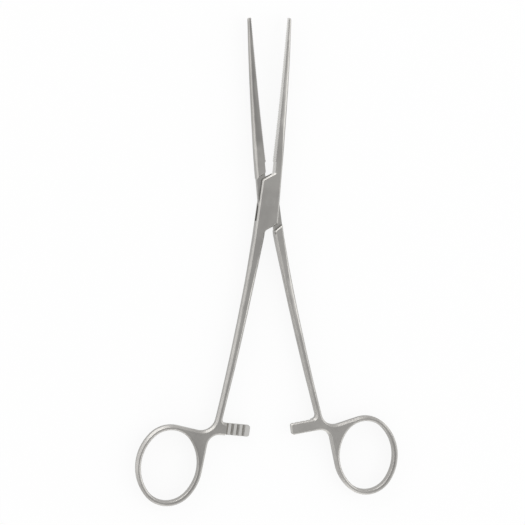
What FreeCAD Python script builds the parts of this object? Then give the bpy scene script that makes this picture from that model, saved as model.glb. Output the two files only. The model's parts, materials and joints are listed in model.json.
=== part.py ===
import FreeCAD, Part
from collections import namedtuple
import math
import os

# Straight hemostat forceps with a box lock, in millimetres.
# The instrument lies on its side: +Y runs from the pivot to the jaw tips, +X is to the right
# and +Z is up. The origin is on the pivot axis, on the underside of the box lock.
# Each half is drawn closed, with its jaw on the +X side, and is then turned to its place.

# Opening between the two halves as the instrument is laid down
opening_deg = 11.9

# Lengths along the instrument, measured from the pivot
jaw_length = 73.5
ratchet_distance = 93.45

# Box lock
box_thickness = 5.0
box_half_length = 14.0
female_jaw_side_top = 3.55
female_jaw_side_bottom = 4.1
female_shank_side_top = 3.85
female_shank_side_bottom = 5.0
male_jaw_side_top = 4.35
male_jaw_side_bottom = 4.78
male_shank_side_top = 3.4
male_shank_side_bottom = 4.25
plate_reach = 9.45
plate_corner_radius = 1.3
plate_heel_radius = 0.8
end_slant_deg = 32.0
shoulder_gap = 1.05
shoulder_bevel = 0.4
crotch_half_gap = 0.75
crotch_radius = 0.7
shank_crotch_radius = 1.8
box_chamfer = 0.55
slot_height = 2.3
slot_clearance = 0.05
tongue_radius = 9.4
tongue_end_clearance = 0.1
tongue_mid_gap = 0.1
pin_diameter = 3.2
pin_clearance = 0.03

# Where the jaw and the shank grow out of the lock: the step between the lock's faces and
# theirs, how far they run into the lock, the share of their length that blends over, and how
# round their bevels are, from 0 for a flat chamfer to 1 for a quarter round
forged_step = 0.02
root_overlap = 2.2
root_blend = 0.3
loft_sections = 9
root_crown = 0.1
bar_crown = 0.55

# Jaws
jaw_tip_width = 1.25
female_jaw_taper_power = 2.05
male_jaw_taper_power = 1.55
jaw_tip_depth = 2.7
jaw_outer_bevel = 1.25
jaw_tip_bevel = 0.6
jaw_inner_bevel = 0.3
jaw_nose_radius = 0.9
jaw_side_radius = 0.8
pad_start = 16.3
pad_root_gap = 0.3
pad_middle_gap = 0.4
pad_tip_gap = 0.04
tooth_pitch = 0.95
tooth_depth = 0.33

# Shanks
female_shank_root_width = 4.0
male_shank_root_width = 3.55
shank_end_x = 10.92
shank_end_lean_deg = 8.42
shank_bow = 0.59
shank_end_width = 2.4
shank_depth = 4.2
shank_end_depth = 3.8
shank_bevel = 1.1
shank_end_length = 6.4

# Finger rings and the web that carries them
ring_offset = 30.2
ring_drop = 15.75
ring_hole_width = 23.1
ring_hole_length = 29.0
ring_end_radius = 9.8
ring_band = 2.0
ring_bevel = 0.75
ring_hole_round = 0.9
web_side = 2.6
web_drop = 2.35
web_outer_radius = 5.8
web_inner_radius = 4.75

# Ratchet
arm_width = 4.9
female_arm_overlap = 1.7
male_arm_overlap = 0.65
arm_droop_deg = 2.0
arm_root_gap = 2.15
arm_inset = 0.12
arm_bevel = 0.45
arm_corner_radius = 1.0
arm_fillet_radius = 1.6
ratchet_pitch = 2.36
ratchet_land = 1.2
ratchet_depth = 0.75
ratchet_teeth = 4
ratchet_clearance = 0.1

V = FreeCAD.Vector
mid_z = box_thickness / 2
half_opening = opening_deg / 2
end_slant = math.radians(end_slant_deg)
arm_droop = math.radians(arm_droop_deg)
shank_end_lean = math.radians(shank_end_lean_deg)
shoulder_reach = plate_reach + shoulder_gap
slot_bottom = mid_z - slot_height / 2
tongue_thickness = slot_height - 2 * slot_clearance
tongue_bottom = slot_bottom + slot_clearance
slot_radius = tongue_radius + tongue_end_clearance
pick = 0.01

# Sizes in which the two halves differ. The teeth of one jaw meet the gaps of the other.
Half = namedtuple(
    "Half", "jaw_top jaw_bottom shank_top shank_bottom shank_root taper arm_overlap tooth_shift notched"
)
female = Half(
    jaw_top=female_jaw_side_top,
    jaw_bottom=female_jaw_side_bottom,
    shank_top=female_shank_side_top,
    shank_bottom=female_shank_side_bottom,
    shank_root=female_shank_root_width,
    taper=female_jaw_taper_power,
    arm_overlap=female_arm_overlap,
    tooth_shift=0,
    notched=False,
)
male = Half(
    jaw_top=male_jaw_side_top,
    jaw_bottom=male_jaw_side_bottom,
    shank_top=male_shank_side_top,
    shank_bottom=male_shank_side_bottom,
    shank_root=male_shank_root_width,
    taper=male_jaw_taper_power,
    arm_overlap=male_arm_overlap,
    tooth_shift=0.5,
    notched=True,
)


def left_of(direction):
    return V(-direction.y, direction.x, 0)


def meet(point_a, along_a, point_b, along_b):
    """Point where two lines of the plan cross."""
    cross = along_a.x * along_b.y - along_a.y * along_b.x
    gap = point_b - point_a
    return point_a + along_a * ((gap.x * along_b.y - gap.y * along_b.x) / cross)


def rounded_wire(corners):
    """Closed outline in the plan from (x, y, radius) corners, with an arc at each corner."""
    count = len(corners)
    points = [V(x, y, 0) for x, y, radius in corners]
    starts, ends, middles = [], [], []
    for i, (x, y, radius) in enumerate(corners):
        before = (points[i - 1] - points[i]).normalize()
        after = (points[(i + 1) % count] - points[i]).normalize()
        if radius == 0:
            starts.append(points[i])
            ends.append(points[i])
            middles.append(None)
            continue
        half = before.getAngle(after) / 2
        reach = radius / math.tan(half)
        inward = (before + after).normalize()
        centre = points[i] + inward * (radius / math.sin(half))
        starts.append(points[i] + before * reach)
        ends.append(points[i] + after * reach)
        middles.append(centre - inward * radius)
    edges = []
    for i in range(count):
        if middles[i] is not None:
            edges.append(Part.Arc(starts[i], middles[i], ends[i]).toShape())
        edges.append(Part.LineSegment(ends[i], starts[(i + 1) % count]).toShape())
    return Part.Wire(edges)


def prism(wire, bottom, height):
    face = Part.Face(wire)
    face.translate(V(0, 0, bottom))
    return face.extrude(V(0, 0, height))


def polygon_prism(points, bottom, height):
    return prism(Part.makePolygon([V(x, y, 0) for x, y in points + points[:1]]), bottom, height)


def edges_at_top_and_bottom(solid, keep):
    """Edges of the flat top and bottom whose middle passes the given test."""
    box = solid.BoundBox
    chosen = []
    for edge in solid.Edges:
        level = edge.BoundBox
        flat = level.ZLength < 1e-6
        outer = abs(level.ZMax - box.ZMax) < 1e-6 or abs(level.ZMin - box.ZMin) < 1e-6
        if flat and outer and keep(edge.CenterOfMass):
            chosen.append(edge)
    return chosen


def section(left, right, height, bevel_left, bevel_right, crown):
    """Cross section of a bar between two plan points, flat on top with crowned bevels.

    The section stands upright on the line from left to right. A crown of 1 makes each bevel
    a quarter round and a crown of 0 makes it a flat chamfer.
    """
    across = right - left
    width = across.Length
    across.normalize()
    top = height / 2

    def at(u, z):
        return left + across * u + V(0, 0, mid_z + z)

    bulge = (1 - math.sqrt(0.5)) * crown * math.sqrt(0.5)

    def bevel(u, z, side_u, side_z, size):
        return at(u - side_u * size * (0.5 - bulge), z - side_z * size * (0.5 - bulge))

    bl, br = bevel_left, bevel_right
    loop = [
        (at(bl, -top), None, at(width - br, -top)),
        (at(width - br, -top), bevel(width, -top, 1, -1, br), at(width, br - top)),
        (at(width, br - top), None, at(width, top - br)),
        (at(width, top - br), bevel(width, top, 1, 1, br), at(width - br, top)),
        (at(width - br, top), None, at(bl, top)),
        (at(bl, top), bevel(0, top, -1, 1, bl), at(0, top - bl)),
        (at(0, top - bl), None, at(0, bl - top)),
        (at(0, bl - top), bevel(0, -top, -1, -1, bl), at(bl, -top)),
    ]
    edges = []
    for start, middle, end in loop:
        if middle is None or crown == 0:
            edges.append(Part.LineSegment(start, end).toShape())
        else:
            edges.append(Part.Arc(start, middle, end).toShape())
    return Part.Wire(edges)


def mix(a, b, share):
    return a + (b - a) * share


def soft_step(share):
    """Rise from 0 to 1 that starts and ends level."""
    share = min(max(share, 0), 1)
    return share * share * (3 - 2 * share)


def side_of_lock(top, bottom, y):
    """Distance from the mid line to a side of the lock, at a height of the plan."""
    return mix(top, bottom, (box_half_length - y) / (2 * box_half_length))


def shank_inner_x(half):
    return half.shank_root - half.shank_bottom


shank_end_y = ratchet_distance - arm_width / 2 - shank_end_length
shank_end = V(-shank_end_x, -shank_end_y, 0)
shank_run = V(-math.sin(shank_end_lean), -math.cos(shank_end_lean), 0)
shank_outward = left_of(shank_run) * -1


def end_line(reach, x):
    """Height of the slanted end line of the lock at a given x, for a distance from the pivot."""
    return (reach + x * math.sin(end_slant)) / math.cos(end_slant)


def end_corner(top, bottom, side):
    """Corner where a slanted end line meets the left side (-1) or the right side (1)."""
    side_start = V(side * top, box_half_length, 0)
    side_run = V(side * (bottom - top), -2 * box_half_length, 0)
    line_start = V(0, -side * end_line(plate_reach, 0), 0)
    return meet(side_start, side_run, line_start, V(math.cos(end_slant), math.sin(end_slant), 0))


def lock_plan(half):
    """Plan of the lock region: slanted plate ends on the female half, notches on the male one."""
    inner_x = shank_inner_x(half)
    jaw_side = (half.jaw_top, box_half_length, 0)
    jaw_corner = (crotch_half_gap, box_half_length, 0)
    shank_side = (-half.shank_bottom, -box_half_length, 0)
    shank_corner = (inner_x, -box_half_length, 0)
    if half.notched:
        left_x = -side_of_lock(half.shank_top, half.shank_bottom, tongue_radius)
        right_x = side_of_lock(half.jaw_top, half.jaw_bottom, -tongue_radius)
        return [
            jaw_side,
            jaw_corner,
            (crotch_half_gap, tongue_radius, 0),
            (left_x, tongue_radius, 0),
            shank_side,
            shank_corner,
            (inner_x, -tongue_radius, 0),
            (right_x, -tongue_radius, 0),
        ]
    corner = end_corner(half.shank_top, half.shank_bottom, -1)
    heel = end_corner(half.jaw_top, half.jaw_bottom, 1)
    return [
        jaw_side,
        jaw_corner,
        (crotch_half_gap, end_line(plate_reach, crotch_half_gap), crotch_radius),
        (corner.x, corner.y, plate_corner_radius),
        shank_side,
        shank_corner,
        (inner_x, -end_line(plate_reach, -inner_x), shank_crotch_radius),
        (heel.x, heel.y, plate_heel_radius),
    ]


def lock_block(half):
    block = prism(rounded_wire(lock_plan(half)), 0, box_thickness)
    inside = box_half_length - pick
    side = min(half.shank_top, half.jaw_top)

    def on_rim(point):
        outer = abs(point.x) > side or abs(point.x - shank_inner_x(half)) < pick
        return abs(point.y) < inside and (outer or not half.notched)

    return block.makeChamfer(box_chamfer, edges_at_top_and_bottom(block, on_rim))


def stations(length):
    """Shares of a length at which a loft has a section, closer together near the lock."""
    return [-root_overlap / length] + [(i / loft_sections) ** 1.4 for i in range(loft_sections + 1)]


def jaw_outer(half, y):
    share = (y - box_half_length) / (jaw_length - box_half_length)
    return mix(half.jaw_top - forged_step, jaw_tip_width, max(share, 0) ** half.taper)


def pad_face(y):
    """Distance from the mid line to the tooth crests, bowed so that the tips meet first."""
    share = (y - pad_start) / (jaw_length - pad_start)
    bow = pad_middle_gap - (pad_root_gap + pad_tip_gap) / 2
    return mix(pad_root_gap, pad_tip_gap, share) + 4 * bow * share * (1 - share)


def tooth_comb(half):
    """Cutter for the relief behind the pad and for the transverse teeth of one jaw."""
    count = int((jaw_length - pad_start) / tooth_pitch)
    shift = half.tooth_shift
    start = box_half_length - 1.5 * root_overlap
    points = [(-half.jaw_top, start), (crotch_half_gap, start)]
    points.append((crotch_half_gap, pad_start - crotch_half_gap / 2))
    points.append((pad_face(pad_start), pad_start))
    for i in range(count):
        y = pad_start + (i + shift) * tooth_pitch
        points.append((pad_face(y), y))
        points.append((pad_face(y) + tooth_depth, y + tooth_pitch / 2))
    last = pad_start + (count + shift) * tooth_pitch
    points.append((pad_face(min(last, jaw_length)), last))
    points.append((pad_tip_gap, jaw_length + tooth_pitch))
    points.append((-half.jaw_top, jaw_length + tooth_pitch))
    return polygon_prism(points, -box_thickness, 3 * box_thickness)


def jaw_nose(half):
    """Envelope that rounds the tip of the jaw in plan and from the side."""
    slope = half.taper * (half.jaw_top - jaw_tip_width) / (jaw_length - box_half_length)
    plan = prism(rounded_wire([
        (-half.jaw_top, 0, 0),
        (jaw_tip_width + slope * jaw_length, 0, 0),
        (jaw_tip_width, jaw_length, jaw_nose_radius),
        (-half.jaw_top, jaw_length, 0),
    ]), -box_thickness, 3 * box_thickness)
    half_depth = jaw_tip_depth / 2
    side = prism(rounded_wire([
        (0, -2 * box_thickness, 0),
        (jaw_length, -half_depth, jaw_side_radius),
        (jaw_length, half_depth, jaw_side_radius),
        (0, 2 * box_thickness, 0),
    ]), -half.jaw_top, 3 * half.jaw_top)
    side.rotate(V(0, 0, 0), V(1, 1, 1), 120)
    side.translate(V(0, 0, mid_z))
    return plan, side


def jaw(half):
    """Tapered jaw, rounded outside, with its flat face cut into teeth."""
    wires = []
    for share in stations(jaw_length - box_half_length):
        y = mix(box_half_length, jaw_length, share)
        along = max(share, 0)
        growth = soft_step(along / root_blend)
        depth = mix(box_thickness - 2 * forged_step, jaw_tip_depth, along)
        outer = mix(mix(box_chamfer, jaw_outer_bevel, growth), jaw_tip_bevel, along ** 2)
        left = V(-jaw_inner_bevel, y, 0)
        right = V(jaw_outer(half, y), y, 0)
        crown = mix(root_crown, bar_crown, growth)
        wires.append(section(left, right, depth, 2 * jaw_inner_bevel, outer, crown))
    body = Part.makeLoft(wires, True, False)
    plan, side = jaw_nose(half)
    return body.common(plan).common(side).cut(tooth_comb(half))


def shank_sides(half, y):
    """Left and right edges of the shank. Inside the lock they keep just within its sides."""
    if y > -box_half_length:
        outer = side_of_lock(half.shank_top, half.shank_bottom, y)
        return forged_step - outer, shank_inner_x(half) - forged_step
    share = (-y - box_half_length) / (shank_end_y - box_half_length)
    root_x = half.shank_bottom - half.shank_root / 2
    centre = -mix(root_x, shank_end_x, share) + 4 * shank_bow * share * (1 - share)
    reach = mix(half.shank_root, shank_end_width, share) / 2 - forged_step
    return centre - reach, centre + reach


def shank(half):
    """Bowed shank between the lock and the rear forging."""
    wires = []
    for share in stations(shank_end_y - box_half_length)[:-1]:
        y = -mix(box_half_length, shank_end_y, share)
        left, right = shank_sides(half, y)
        blend = soft_step(share / root_blend)
        thick = mix(box_thickness - 2 * forged_step, shank_depth, blend)
        depth = mix(thick, shank_end_depth, max(share, 0) * blend)
        bevel = mix(box_chamfer, mix(shank_bevel, ring_bevel, max(share, 0)), blend)
        crown = mix(root_crown, mix(bar_crown, root_crown, max(share, 0) ** 2), blend)
        wires.append(section(V(left, y, 0), V(right, y, 0), depth, bevel, bevel, crown))
    reach = shank_outward * (shank_end_width / 2)
    wires.append(section(shank_end + reach, shank_end - reach, shank_end_depth, ring_bevel, ring_bevel, 0))
    return Part.makeLoft(wires, True, False)


ring_centre = V(-ring_offset, -ratchet_distance - ring_drop, 0)
end_rise = ring_hole_length / 2 - ring_end_radius
width_excess = ring_hole_width - 2 * ring_end_radius
side_radius = (ring_hole_width ** 2 / 4 + end_rise ** 2 - ring_end_radius ** 2) / width_excess
side_set = side_radius - ring_hole_width / 2


def ring_joint(growth):
    """Point where a side arc and an end arc of the ring's outline meet, from its centre."""
    return V(0, end_rise, 0) + V(side_set, end_rise, 0).normalize() * (ring_end_radius + growth)


def ring_outline(growth):
    """Oval of four arcs: the edge of the finger hole, moved outwards by a given amount."""
    joint = ring_joint(growth)
    side = ring_hole_width / 2 + growth
    end = ring_hole_length / 2 + growth
    points = [
        V(joint.x, joint.y, 0),
        V(0, end, 0),
        V(-joint.x, joint.y, 0),
        V(-side, 0, 0),
        V(-joint.x, -joint.y, 0),
        V(0, -end, 0),
        V(joint.x, -joint.y, 0),
        V(side, 0, 0),
    ]
    arcs = [Part.Arc(points[i], points[i + 1], points[(i + 2) % 8]).toShape() for i in range(0, 8, 2)]
    outline = Part.Wire(arcs)
    outline.translate(ring_centre)
    return outline


def ring_tangent(corner, turn):
    """Point where a line from a corner beside the ring touches the ring's outer edge."""
    joint = math.atan2(end_rise, side_set)
    arcs = [
        (V(0, end_rise, 0), ring_end_radius + ring_band, joint, math.pi - joint),
        (V(-side_set, 0, 0), side_radius + ring_band, -joint, joint),
        (V(0, -end_rise, 0), ring_end_radius + ring_band, joint - math.pi, -joint),
    ]
    for centre, radius, lowest, highest in arcs:
        reach = corner - ring_centre - centre
        angle = math.atan2(reach.y, reach.x) + turn * math.acos(radius / reach.Length)
        if lowest <= angle <= highest:
            return ring_centre + centre + V(math.cos(angle), math.sin(angle), 0) * radius


arm_middle = V(0, -ratchet_distance, 0)
arm_run = V(-math.cos(arm_droop), math.sin(arm_droop), 0)
arm_down = left_of(arm_run)
arm_lower = arm_middle + arm_down * (arm_width / 2)
arm_upper = arm_middle - arm_down * (arm_width / 2)
shank_outer = shank_end + shank_outward * (shank_end_width / 2)
shank_inner = shank_end - shank_outward * (shank_end_width / 2)
armpit = meet(shank_inner, shank_run, arm_upper, arm_run)
arm_root_reach = (armpit - arm_upper).dot(arm_run) - arm_root_gap


def rear_forging():
    """End of the shank, web, finger ring and the full-depth root of the ratchet arm."""
    web_top = meet(shank_outer, shank_run, arm_middle + arm_down * web_drop, arm_run)
    web_low = meet(shank_end + shank_outward * web_side, shank_run, arm_lower, arm_run)
    root_lower = arm_lower + arm_run * arm_root_reach
    root_upper = arm_upper + arm_run * arm_root_reach
    touch_top = ring_tangent(web_top, 1)
    touch_side = ring_tangent(web_low, -1)
    corners = [
        (shank_outer.x, shank_outer.y, 0),
        (web_top.x, web_top.y, web_outer_radius),
        (touch_top.x, touch_top.y, 0),
        (touch_side.x, touch_side.y, 0),
        (web_low.x, web_low.y, web_inner_radius),
        (root_lower.x, root_lower.y, 0),
        (root_upper.x, root_upper.y, 0),
        (armpit.x, armpit.y, arm_fillet_radius),
        (shank_inner.x, shank_inner.y, 0),
    ]
    bottom = mid_z - shank_end_depth / 2
    web = prism(rounded_wire(corners), bottom, shank_end_depth)
    disc = prism(ring_outline(ring_band), bottom, shank_end_depth)
    hole = prism(ring_outline(0), bottom, shank_end_depth)
    body = web.fuse(disc).removeSplitter()
    root_middle = (root_lower + root_upper) * 0.5

    def on_rim(point):
        flat = V(point.x, point.y, 0)
        at_shank = abs((flat - shank_end).dot(shank_run)) < pick
        at_root = abs((flat - root_middle).dot(arm_run)) < pick
        return not (at_shank or at_root)

    def on_hole(edge):
        reach = [(V(v.X, v.Y, 0) - ring_centre).Length for v in edge.Vertexes]
        return max(reach) < ring_joint(0).Length + pick

    body = body.makeChamfer(ring_bevel, edges_at_top_and_bottom(body, on_rim)).cut(hole).Solids[0]
    hole_edges = [e for e in edges_at_top_and_bottom(body, on_rim) if on_hole(e)]
    return body.makeFillet(ring_hole_round, hole_edges)


def ratchet_arm(half):
    """Half-depth arm with upward teeth. Drawn straight, then laid on the arm line."""
    depth = (shank_end_depth - ratchet_clearance) / 2
    root = half.arm_overlap + arm_root_reach
    length = root + arm_corner_radius
    side = arm_width / 2 - arm_inset
    outline = rounded_wire([
        (0, -side, arm_corner_radius),
        (length, -side, 0),
        (length, side, 0),
        (0, side, arm_corner_radius),
    ])
    bar = prism(outline, 0, depth)
    lower = edges_at_top_and_bottom(bar, lambda p: p.z < pick and p.x < length - pick)
    bar = bar.makeChamfer(arm_bevel, lower)
    first = root - ratchet_teeth * ratchet_pitch + ratchet_land
    for i in range(ratchet_teeth):
        crest = first + i * ratchet_pitch
        foot = crest + ratchet_pitch - ratchet_land
        notch = Part.makePolygon([
            V(crest, -arm_width, depth),
            V(foot, -arm_width, depth - ratchet_depth),
            V(foot, -arm_width, depth + ratchet_depth),
            V(crest, -arm_width, depth + ratchet_depth),
            V(crest, -arm_width, depth),
        ])
        bar = bar.cut(Part.Face(notch).extrude(V(0, 2 * arm_width, 0)))
    bar.rotate(V(0, 0, 0), V(0, 0, 1), 180 - arm_droop_deg)
    bar.translate(arm_middle - arm_run * half.arm_overlap + V(0, 0, mid_z - shank_end_depth / 2))
    return bar


def male_arm(arm):
    """The same arm with its teeth facing down."""
    return arm.mirror(V(0, 0, mid_z), V(0, 0, 1))


def forging(half):
    """One half in one piece, before the slot or the tongue is cut into its lock."""
    arm = ratchet_arm(half)
    if half.notched:
        arm = male_arm(arm)
    pieces = [jaw(half), shank(half), rear_forging(), arm]
    return lock_block(half).multiFuse(pieces).removeSplitter()


def slot_cutter():
    """Slot through the female half, open to both sides past its round end walls."""
    disc = Part.makeCylinder(slot_radius, slot_height, V(0, 0, slot_bottom))
    lane = 2 * box_half_length
    upper = Part.makeBox(lane, lane, slot_height, V(-lane, 0, slot_bottom))
    lower = Part.makeBox(lane, lane, slot_height, V(0, -lane, slot_bottom))
    return disc.fuse([upper, lower])


def shoulder_pocket():
    """Recess of the male half between its two slanted shoulders, above and below the tongue."""
    lane = 4 * box_half_length
    wide = shoulder_reach + shoulder_bevel
    rim = box_thickness - shoulder_bevel
    upper = [
        V(-lane / 2, -shoulder_reach, tongue_bottom + tongue_thickness),
        V(-lane / 2, shoulder_reach, tongue_bottom + tongue_thickness),
        V(-lane / 2, shoulder_reach, rim),
        V(-lane / 2, wide, box_thickness),
        V(-lane / 2, wide, 2 * box_thickness),
        V(-lane / 2, -wide, 2 * box_thickness),
        V(-lane / 2, -wide, box_thickness),
        V(-lane / 2, -shoulder_reach, rim),
    ]
    pocket = Part.Face(Part.makePolygon(upper + upper[:1])).extrude(V(lane, 0, 0))
    below = pocket.mirror(V(0, 0, mid_z), V(0, 0, 1))
    pocket = pocket.fuse(below)
    pocket.rotate(V(0, 0, 0), V(0, 0, 1), -end_slant_deg)
    return pocket


def tongue_trim():
    """What the tongue must not reach: past its round ends, on the sides of the other half."""
    disc = Part.makeCylinder(tongue_radius, box_thickness)
    lane = box_half_length
    upper = Part.makeBox(lane, lane, box_thickness, V(tongue_mid_gap - lane, 0, 0))
    lower = Part.makeBox(lane, lane, box_thickness, V(-tongue_mid_gap, -lane, 0))
    return upper.fuse(lower).cut(disc)


def female_half():
    body = forging(female)
    bore = Part.makeCylinder(pin_diameter / 2, box_thickness)
    return body.cut(slot_cutter()).cut(bore)


def male_half():
    body = forging(male)
    bore = Part.makeCylinder(pin_diameter / 2 + pin_clearance, box_thickness)
    body = body.cut(tongue_trim()).cut(shoulder_pocket()).cut(bore)
    return body.mirror(V(0, 0, 0), V(1, 0, 0))


def main():
    os.makedirs("parts", exist_ok=True)
    slotted = female_half()
    slotted.rotate(V(0, 0, 0), V(0, 0, 1), -half_opening)
    tongued = male_half()
    tongued.rotate(V(0, 0, 0), V(0, 0, 1), half_opening)
    pin = Part.makeCylinder(pin_diameter / 2, box_thickness)
    for name, shape in (("female_half", slotted), ("male_half", tongued), ("pivot_pin", pin)):
        solids = shape.Solids
        print(name, len(solids), shape.isValid(), round(shape.Volume, 2))
        solids[0].exportStep("parts/" + name + ".step")


main()
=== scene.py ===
import json
import math

import bmesh
import bpy
from mathutils import Matrix, Vector

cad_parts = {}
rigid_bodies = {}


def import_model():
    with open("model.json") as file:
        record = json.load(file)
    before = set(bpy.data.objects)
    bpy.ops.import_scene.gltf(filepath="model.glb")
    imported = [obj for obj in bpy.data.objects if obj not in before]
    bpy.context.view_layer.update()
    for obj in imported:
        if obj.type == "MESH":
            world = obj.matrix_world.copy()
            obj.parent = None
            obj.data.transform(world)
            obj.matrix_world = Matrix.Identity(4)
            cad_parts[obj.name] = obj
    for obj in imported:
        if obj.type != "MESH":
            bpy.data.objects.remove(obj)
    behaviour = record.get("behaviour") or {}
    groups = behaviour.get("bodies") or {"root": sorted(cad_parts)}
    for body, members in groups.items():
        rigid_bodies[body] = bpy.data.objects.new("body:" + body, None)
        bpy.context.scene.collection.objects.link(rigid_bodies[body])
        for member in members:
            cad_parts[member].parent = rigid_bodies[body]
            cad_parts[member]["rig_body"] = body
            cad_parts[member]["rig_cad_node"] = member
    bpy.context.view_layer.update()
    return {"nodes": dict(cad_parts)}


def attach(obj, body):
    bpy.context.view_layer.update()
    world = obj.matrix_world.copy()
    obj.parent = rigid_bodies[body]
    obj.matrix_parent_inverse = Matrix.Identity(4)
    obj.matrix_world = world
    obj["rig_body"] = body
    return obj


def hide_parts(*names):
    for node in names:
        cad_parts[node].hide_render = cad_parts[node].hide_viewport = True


# Straight hemostat forceps lying open on a white table, in metres.
# +Y runs from the pivot to the jaw tips and +Z is up from the table.
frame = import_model()
mm = 0.001

# Camera: how far it leans over to the left side and towards the jaws, its roll, its distance
# from the lock, its lens, and how far the middle of the picture is from the pivot
camera_side_lean = math.radians(14.0)
camera_end_lean = math.radians(5.5)
camera_roll = math.radians(0.06)
camera_distance = 0.6645
camera_lens = 113.5
camera_sensor_width = 36
camera_clip = (0.01, 20)
picture_middle = (-2.63 * mm, -24.49 * mm, 0)
pivot_middle = Vector((0, 0, 2.5 * mm))

# Room: white all round, with a grey ceiling a little to the left of the table
ceiling_way = (-0.34, 0.0, 0.94)
ceiling_grey = 0.43
ceiling_core = 0.98
ceiling_edge = 0.55

# Windows: place, width, height and brightness, where a brightness of 1 looks white in a mirror.
# They all face the middle of the instrument.
windows = {
    "left_window": ((-1.6, 0.3, 0.4), 2.4, 0.8, 0.95),
    "jaw_end_window": ((-0.7, 1.5, 0.42), 1.6, 0.9, 2.3),
    "right_window": ((1.6, -0.1, 0.6), 2.4, 1.2, 1.6),
    "ring_end_window": ((0.2, -1.6, 0.32), 2.0, 0.64, 1.8),
}
window_aim = (0, -0.02, 0)

# Table: its paper, and the share of plain white that the camera and the steel see in it
table_half_side = 3.0
paper_colour = (0.9, 0.9, 0.9, 1)
camera_whiteness = 0.88
mirror_whiteness = 0.8

# Steel
crease_angle = math.radians(28)
merge_distance = 0.0005 * mm
halves_colour = (0.43, 0.42, 0.4, 1)
halves_dark_colour = (0.36, 0.35, 0.335, 1)
# Edge colour: rubbed wear, made lighter still as a painted highlight along every edge
rubbed_and_highlight_colour = (0.62, 0.61, 0.59, 1)
steel_roughness = 0.31
grain_roughness = 0.07
drift_roughness = 0.06
rubbed_smoothness = 0.1
halves_edge_strength = 8.0
pin_edge_strength = 0.0
grain_relief_strength = 0.22
grain_relief_depth = 0.02 * mm
mottle_levels = (0.38, 0.62)
line_stretch = (1.0, 0.04, 1.0)
edge_patch_levels = (0.3, 0.7)
least_edge_wear = 0.5

# Machined faces, given a lighter colour that also paints in the reflection they show: the inner side of each
# jaw, and the lands of the ratchets
machined_and_painted_reflection_colour = (0.66, 0.65, 0.63, 1)
half_opening = math.radians(5.95)
inner_side_start = 9 * mm
inner_side_reach = 1.1 * mm
ratchet_reach = 0.9 * mm
ratchet_ends = (7.5 * mm, 18.8 * mm)
ratchet_sides = (-96 * mm, -89 * mm)
steep_facing = 0.7
flat_facing = 0.95


def group_socket(group, name, kind, direction, value=None):
    socket = group.interface.new_socket(name=name, in_out=direction, socket_type=kind)
    if value is not None:
        socket.default_value = value
    return socket


def node(tree, kind, **settings):
    made = tree.nodes.new(kind)
    for name, value in settings.items():
        setattr(made, name, value)
    return made


def feed(tree, socket, value):
    """Link another socket to this one, or set a plain number, vector or colour on it."""
    if isinstance(value, (int, float, tuple)):
        socket.default_value = value
    else:
        tree.links.new(value, socket)


def maths(tree, operation, first, second, clamp=False):
    made = node(tree, "ShaderNodeMath", operation=operation, use_clamp=clamp)
    feed(tree, made.inputs[0], first)
    feed(tree, made.inputs[1], second)
    return made.outputs[0]


def vector_maths(tree, operation, first, second):
    made = node(tree, "ShaderNodeVectorMath", operation=operation)
    feed(tree, made.inputs[0], first)
    feed(tree, made.inputs[1], second)
    return made


def noise(tree, position, scale, detail=2.0, roughness=0.5):
    made = node(tree, "ShaderNodeTexNoise")
    feed(tree, made.inputs["Vector"], position)
    feed(tree, made.inputs["Scale"], scale)
    feed(tree, made.inputs["Detail"], detail)
    feed(tree, made.inputs["Roughness"], roughness)
    return made.outputs["Fac"]


def spread(tree, value, low, high, to_low=0.0, to_high=1.0):
    """Stretch the part of a value between two levels over a new range."""
    made = node(tree, "ShaderNodeMapRange", interpolation_type="SMOOTHSTEP")
    feed(tree, made.inputs["Value"], value)
    feed(tree, made.inputs["From Min"], low)
    feed(tree, made.inputs["From Max"], high)
    feed(tree, made.inputs["To Min"], to_low)
    feed(tree, made.inputs["To Max"], to_high)
    return made.outputs["Result"]


def colour_mix(tree, share, first, second):
    made = node(tree, "ShaderNodeMix", data_type="RGBA")
    feed(tree, made.inputs[0], share)
    feed(tree, made.inputs[6], first)
    feed(tree, made.inputs[7], second)
    return made.outputs[2]


def make_satin_grain():
    """Bead-blasted grain, faint polishing lines along the shanks, and a slow drift of tone."""
    group = bpy.data.node_groups.new("satin_grain", "ShaderNodeTree")
    group_socket(group, "Position", "NodeSocketVector", "INPUT")
    group_socket(group, "Grain Scale", "NodeSocketFloat", "INPUT", 4200.0)
    group_socket(group, "Line Scale", "NodeSocketFloat", "INPUT", 3600.0)
    group_socket(group, "Drift Scale", "NodeSocketFloat", "INPUT", 110.0)
    group_socket(group, "Grain", "NodeSocketFloat", "OUTPUT")
    group_socket(group, "Lines", "NodeSocketFloat", "OUTPUT")
    group_socket(group, "Drift", "NodeSocketFloat", "OUTPUT")
    given = node(group, "NodeGroupInput").outputs
    result = node(group, "NodeGroupOutput").inputs
    lengthwise = vector_maths(group, "MULTIPLY", given["Position"], line_stretch).outputs["Vector"]
    grain = noise(group, given["Position"], given["Grain Scale"], 3.0, 0.65)
    lines = noise(group, lengthwise, given["Line Scale"], 2.0, 0.6)
    drift = noise(group, given["Position"], given["Drift Scale"], 2.0, 0.5)
    feed(group, result["Grain"], grain)
    feed(group, result["Lines"], lines)
    feed(group, result["Drift"], drift)
    return group


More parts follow.
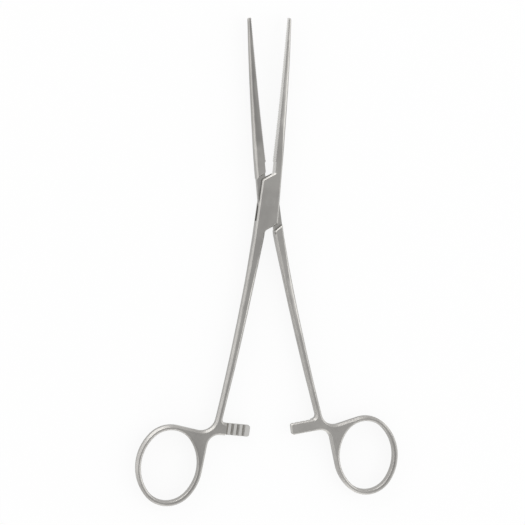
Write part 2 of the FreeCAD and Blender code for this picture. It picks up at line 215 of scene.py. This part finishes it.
def make_rubbed_and_highlight_edges():
    """Mask of rubbed edges, which also carries a painted edge highlight: where a rounded normal parts from the
    true one.
    """
    group = bpy.data.node_groups.new("rubbed_and_highlight_edges", "ShaderNodeTree")
    group_socket(group, "Position", "NodeSocketVector", "INPUT")
    group_socket(group, "Width", "NodeSocketFloat", "INPUT", 0.2 * mm)
    group_socket(group, "Strength", "NodeSocketFloat", "INPUT", 8.0)
    group_socket(group, "Patch Scale", "NodeSocketFloat", "INPUT", 600.0)
    group_socket(group, "Edge", "NodeSocketFloat", "OUTPUT")
    given = node(group, "NodeGroupInput").outputs
    result = node(group, "NodeGroupOutput").inputs
    rounded = node(group, "ShaderNodeBevel", samples=6)
    feed(group, rounded.inputs["Radius"], given["Width"])
    true_normal = node(group, "ShaderNodeNewGeometry").outputs["Normal"]
    along = vector_maths(group, "DOT_PRODUCT", rounded.outputs["Normal"], true_normal)
    turned = maths(group, "SUBTRACT", 1.0, along.outputs["Value"])
    worn = maths(group, "MULTIPLY", turned, given["Strength"], clamp=True)
    patch_noise = noise(group, given["Position"], given["Patch Scale"])
    patches = spread(group, patch_noise, *edge_patch_levels, least_edge_wear, 1.0)
    feed(group, result["Edge"], maths(group, "MULTIPLY", worn, patches))
    return group


def satin_steel(name, grain_group, edge_group, light, dark, rubbed_and_highlight, roughness, edge_strength):
    """Satin stainless steel: blasted grain, polishing lines, rubbed edges lightened further as a painted edge
    highlight, and machined faces lightened as a painted reflection.
    """
    material = bpy.data.materials.new(name)
    material.use_nodes = True
    tree = material.node_tree
    tree.nodes.clear()
    output = node(tree, "ShaderNodeOutputMaterial")
    steel = node(tree, "ShaderNodeBsdfPrincipled")
    feed(tree, output.inputs["Surface"], steel.outputs["BSDF"])
    place = node(tree, "ShaderNodeTexCoord").outputs["Object"]
    grain = node(tree, "ShaderNodeGroup", node_tree=grain_group)
    feed(tree, grain.inputs["Position"], place)
    edges = node(tree, "ShaderNodeGroup", node_tree=edge_group)
    feed(tree, edges.inputs["Position"], place)
    feed(tree, edges.inputs["Strength"], edge_strength)
    edge = edges.outputs["Edge"]

    mottle = maths(tree, "MULTIPLY", maths(tree, "ADD", grain.outputs["Grain"], grain.outputs["Drift"]), 0.5)
    forged_colour = colour_mix(tree, spread(tree, mottle, *mottle_levels), dark, light)
    # Machined faces get a lighter colour, partly a machined finish and partly a painted reflection
    machined_and_painted_reflection = node(tree, "ShaderNodeAttribute", attribute_name="machined_and_painted_reflection").outputs["Fac"]
    body_colour = colour_mix(tree, machined_and_painted_reflection, forged_colour, machined_and_painted_reflection_colour)
    # Edges get a lighter colour: rubbed wear plus a painted highlight
    feed(tree, steel.inputs["Base Color"], colour_mix(tree, edge, body_colour, rubbed_and_highlight))

    surface = maths(tree, "ADD", grain.outputs["Grain"], grain.outputs["Lines"])
    rough = maths(tree, "ADD", roughness, maths(tree, "MULTIPLY", surface, grain_roughness))
    drifting = maths(tree, "MULTIPLY", grain.outputs["Drift"], drift_roughness)
    smoothed = maths(tree, "MULTIPLY", edge, rubbed_smoothness)
    feed(tree, steel.inputs["Roughness"], maths(tree, "SUBTRACT", maths(tree, "ADD", rough, drifting), smoothed))
    steel.inputs["Metallic"].default_value = 1.0

    relief = node(tree, "ShaderNodeBump")
    relief.inputs["Strength"].default_value = grain_relief_strength
    relief.inputs["Distance"].default_value = grain_relief_depth
    feed(tree, relief.inputs["Height"], surface)
    feed(tree, steel.inputs["Normal"], relief.outputs["Normal"])
    return material


def is_machined_and_painted_reflection(place, facing, jaw_turn):
    """Whether a face belongs to the inner side of its jaw or to a ratchet land, the faces lightened as machined
    steel and as a painted reflection.
    """
    if abs(facing.z) < steep_facing:
        along_jaw = Matrix.Rotation(jaw_turn, 3, "Z") @ place
        return along_jaw.y > inner_side_start and abs(along_jaw.x) < inner_side_reach
    along_arm = ratchet_ends[0] < abs(place.x) < ratchet_ends[1]
    across_arm = ratchet_sides[0] < place.y < ratchet_sides[1]
    near_mid_plane = abs(place.z - pivot_middle.z) < ratchet_reach
    return along_arm and across_arm and near_mid_plane and abs(facing.z) > flat_facing


def finished_copy(cad_node, body, material, jaw_turn):
    """Merged copy of a CAD node with smooth shading between its creases, which replaces it.

    The jaw turn is the angle that brings the half's jaw onto the Y axis.
    """
    piece = cad_node.copy()
    piece.data = cad_node.data.copy()
    piece.name = cad_node.name + "_finished"
    piece.parent = None
    bpy.context.scene.collection.objects.link(piece)
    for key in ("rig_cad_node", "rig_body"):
        if key in piece:
            del piece[key]
    mesh = bmesh.new()
    mesh.from_mesh(piece.data)
    bmesh.ops.remove_doubles(mesh, verts=mesh.verts, dist=merge_distance)
    # Marks the faces that get the lighter colour, machined finish plus painted reflection
    machined_and_painted_reflection = mesh.faces.layers.float.new("machined_and_painted_reflection")
    for face in mesh.faces:
        face.smooth = True
        face[machined_and_painted_reflection] = float(is_machined_and_painted_reflection(face.calc_center_median(), face.normal, jaw_turn))
    for edge in mesh.edges:
        edge.smooth = len(edge.link_faces) == 2 and edge.calc_face_angle(math.pi) < crease_angle
    mesh.to_mesh(piece.data)
    mesh.free()
    piece.data.materials.clear()
    piece.data.materials.append(material)
    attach(piece, body)
    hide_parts(cad_node.name)
    return piece


def make_table():
    """White table top. The camera and the steel see it nearly white, and it keeps a shadow."""
    top = bmesh.new()
    corners = [(-1, -1), (1, -1), (1, 1), (-1, 1)]
    top.faces.new([top.verts.new((x * table_half_side, y * table_half_side, 0)) for x, y in corners])
    data = bpy.data.meshes.new("table_top")
    top.to_mesh(data)
    top.free()
    table = bpy.data.objects.new("table_top", data)
    bpy.context.scene.collection.objects.link(table)
    material = bpy.data.materials.new("white_paper")
    material.use_nodes = True
    tree = material.node_tree
    tree.nodes.clear()
    output = node(tree, "ShaderNodeOutputMaterial")
    paper = node(tree, "ShaderNodeBsdfDiffuse")
    paper.inputs["Color"].default_value = paper_colour
    glow = node(tree, "ShaderNodeEmission")
    glow.inputs["Color"].default_value = (1, 1, 1, 1)
    glow.inputs["Strength"].default_value = 1.0
    rays = node(tree, "ShaderNodeLightPath").outputs
    looked_at = maths(tree, "MULTIPLY", rays["Is Camera Ray"], camera_whiteness)
    mirror_ray = maths(tree, "MAXIMUM", rays["Is Glossy Ray"], rays["Is Transmission Ray"])
    mirrored = maths(tree, "MULTIPLY", mirror_ray, mirror_whiteness)
    mixed = node(tree, "ShaderNodeMixShader")
    feed(tree, mixed.inputs[0], maths(tree, "MAXIMUM", looked_at, mirrored))
    feed(tree, mixed.inputs[1], paper.outputs["BSDF"])
    feed(tree, mixed.inputs[2], glow.outputs["Emission"])
    feed(tree, output.inputs["Surface"], mixed.outputs["Shader"])
    data.materials.append(material)


def soft_box(name, place, width, height, brightness):
    """Rectangular lamp that faces the middle of the instrument."""
    lamp = bpy.data.lights.new(name, "AREA")
    lamp.shape = "RECTANGLE"
    lamp.size = width
    lamp.size_y = height
    lamp.energy = brightness * math.pi * width * height
    holder = bpy.data.objects.new(name, lamp)
    bpy.context.scene.collection.objects.link(holder)
    holder.location = place
    holder.rotation_euler = (Vector(window_aim) - Vector(place)).to_track_quat("-Z", "Y").to_euler()


def make_room():
    """White room with a grey ceiling, which the flat tops of the steel mirror."""
    world = bpy.data.worlds.new("studio")
    bpy.context.scene.world = world
    world.use_nodes = True
    tree = world.node_tree
    tree.nodes.clear()
    output = node(tree, "ShaderNodeOutputWorld")
    room = node(tree, "ShaderNodeBackground")
    way = node(tree, "ShaderNodeTexCoord").outputs["Generated"]
    upward = vector_maths(tree, "DOT_PRODUCT", way, ceiling_way).outputs["Value"]
    feed(tree, room.inputs["Color"], spread(tree, upward, ceiling_edge, ceiling_core, 1.0, ceiling_grey))
    feed(tree, output.inputs["Surface"], room.outputs["Background"])


def make_camera():
    """Camera above the table, leaned over to the left side and a little towards the jaws."""
    turn = Matrix.Rotation(camera_end_lean, 3, "X") @ Matrix.Rotation(camera_side_lean, 3, "Y")
    axes = turn.transposed()
    aim = pivot_middle + axes @ Vector(picture_middle)
    data = bpy.data.cameras.new("camera")
    data.sensor_width = camera_sensor_width
    data.lens = camera_lens
    data.clip_start, data.clip_end = camera_clip
    camera = bpy.data.objects.new("camera", data)
    bpy.context.scene.collection.objects.link(camera)
    place = aim + axes @ Vector((0, 0, camera_distance))
    rolled = axes @ Matrix.Rotation(camera_roll, 3, "Z")
    camera.matrix_world = Matrix.Translation(place) @ rolled.to_4x4()
    bpy.context.scene.camera = camera


grain_group = make_satin_grain()
edge_group = make_rubbed_and_highlight_edges()
halves_steel = satin_steel(
    "satin_steel_halves", grain_group, edge_group,
    halves_colour, halves_dark_colour, rubbed_and_highlight_colour, steel_roughness, halves_edge_strength,
)
pin_steel = satin_steel(
    "ground_steel_pin", grain_group, edge_group,
    halves_colour, halves_dark_colour, halves_colour, steel_roughness, pin_edge_strength,
)
finished_copy(frame["nodes"]["female_half"], "female", halves_steel, half_opening)
finished_copy(frame["nodes"]["male_half"], "male", halves_steel, -half_opening)
finished_copy(frame["nodes"]["pivot_pin"], "female", pin_steel, 0)

make_table()
for window_name, window in windows.items():
    soft_box(window_name, *window)
make_room()
make_camera()
bpy.context.scene.view_settings.view_transform = "Standard"
